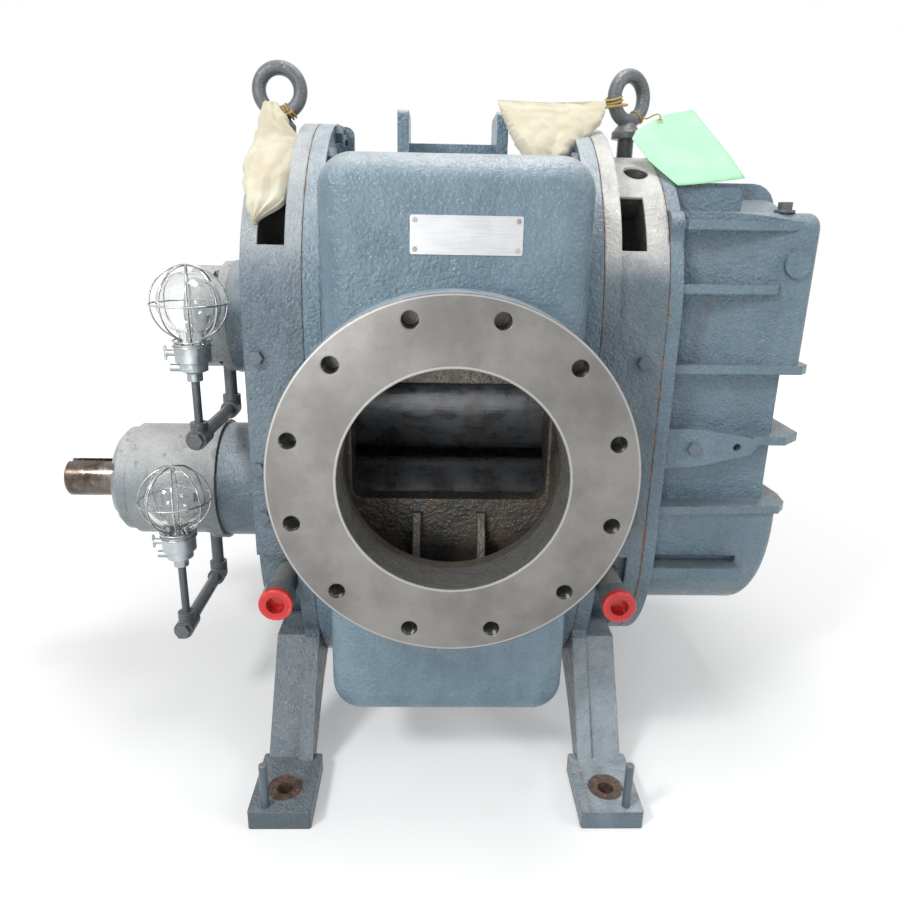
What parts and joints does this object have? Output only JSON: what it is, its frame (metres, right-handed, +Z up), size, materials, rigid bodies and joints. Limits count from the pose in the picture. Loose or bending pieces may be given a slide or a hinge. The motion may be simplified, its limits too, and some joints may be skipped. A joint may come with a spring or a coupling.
{
  "type": "roots vacuum pump",
  "caption": "Vertical rotary-lobe vacuum pump with flanged horizontal ports, gear case, drive shaft, oilers and cast feet.",
  "frame": {"origin": "centre of the inlet flange's face", "axes": "+X from the drive end to the gear end along the shafts, -Y out of the inlet flange, +Z up"},
  "size_m": [1.275, 0.922, 1.094],
  "materials": {
    "casting_paint": "semi-gloss",
    "housing_paint": "semi-gloss",
    "gasket": "matte",
    "machined_steel": "satin",
    "shaft_steel": "satin",
    "cast_iron": "matte",
    "screw_paint": "semi-gloss",
    "dark_steel": "semi-gloss",
    "plate_aluminium": "brushed",
    "glass": "clear",
    "guard_wire": "bright",
    "zinc": "satin",
    "pipe_iron": "semi-gloss",
    "red_plastic": "gloss",
    "canvas": "matte",
    "tag_card": "matte",
    "string": "matte"
  },
  "bodies": {
    "pump_body": {"bag_ties": "string", "bearing_cover_gaskets": "gasket", "bearing_outer_rings": "machined_steel", "bearing_retainers": "machined_steel", "cap_screws": "screw_paint", "casing": "casting_paint", "casing_drain_plug": "screw_paint", "drive_bearing_housing": "housing_paint", "drive_end_bag": "canvas", "drive_end_cover": "housing_paint", "drive_end_drain_pipe": "screw_paint", "drive_end_pipe_cap": "red_plastic", "drive_headplate": "casting_paint", "drive_joint_gasket": "gasket", "drive_oiler_bowl": "glass", "drive_oiler_guard": "guard_wire", "drive_oiler_piping": "pipe_iron", "drive_oiler_socket": "zinc", "driven_bearing_cap": "housing_paint", "driven_oiler_bowl": "glass", "driven_oiler_guard": "guard_wire", "driven_oiler_piping": "pipe_iron", "driven_oiler_socket": "zinc", "end_cover_screws": "dark_steel", "eyebolts": "dark_steel", "gear_case": "casting_paint", "gear_case_fill_plug": "dark_steel", "gear_case_gasket": "gasket", "gear_case_screws": "screw_paint", "gear_end_bag": "canvas", "gear_end_drain_pipe": "screw_paint", "gear_end_pipe_cap": "red_plastic", "gear_headplate": "casting_paint", "gear_joint_gasket": "gasket", "hang_tag": "tag_card", "headplate_plugs": "screw_paint", "housing_screws": "screw_paint", "jack_pins": "screw_paint", "joint_screws": "screw_paint", "nameplate": "plate_aluminium", "nameplate_screws": "dark_steel", "retainer_screws": "dark_steel", "shaft_seals": "cast_iron", "tag_string": "string"},
    "drive_rotor_body": {"drive_shaft": "shaft_steel", "drive_rotor": "cast_iron", "drive_timing_gear": "machined_steel", "drive_gear_lock_plate": "machined_steel", "drive_gear_lock_screws": "dark_steel", "oil_slinger": "machined_steel", "drive_bearing_inner_rings": "machined_steel"},
    "driven_rotor_body": {"driven_shaft": "shaft_steel", "driven_rotor": "cast_iron", "driven_timing_gear": "machined_steel", "driven_gear_lock_plate": "machined_steel", "driven_gear_lock_screws": "dark_steel", "driven_bearing_inner_rings": "machined_steel"}
  },
  "joints": [
    {"name": "drive_spin", "type": "hinge", "parent": "pump_body", "child": "drive_rotor_body", "pos_m": [0, 0.44, -0.1524], "axis": [1, 0, 0], "continuous": true},
    {"name": "driven_spin", "type": "hinge", "parent": "pump_body", "child": "driven_rotor_body", "pos_m": [0, 0.44, 0.1524], "axis": [1, 0, 0], "continuous": true}
  ],
  "couplings": [
    {"joint": "driven_spin", "follows": "drive_spin", "ratio": -1}
  ]
}
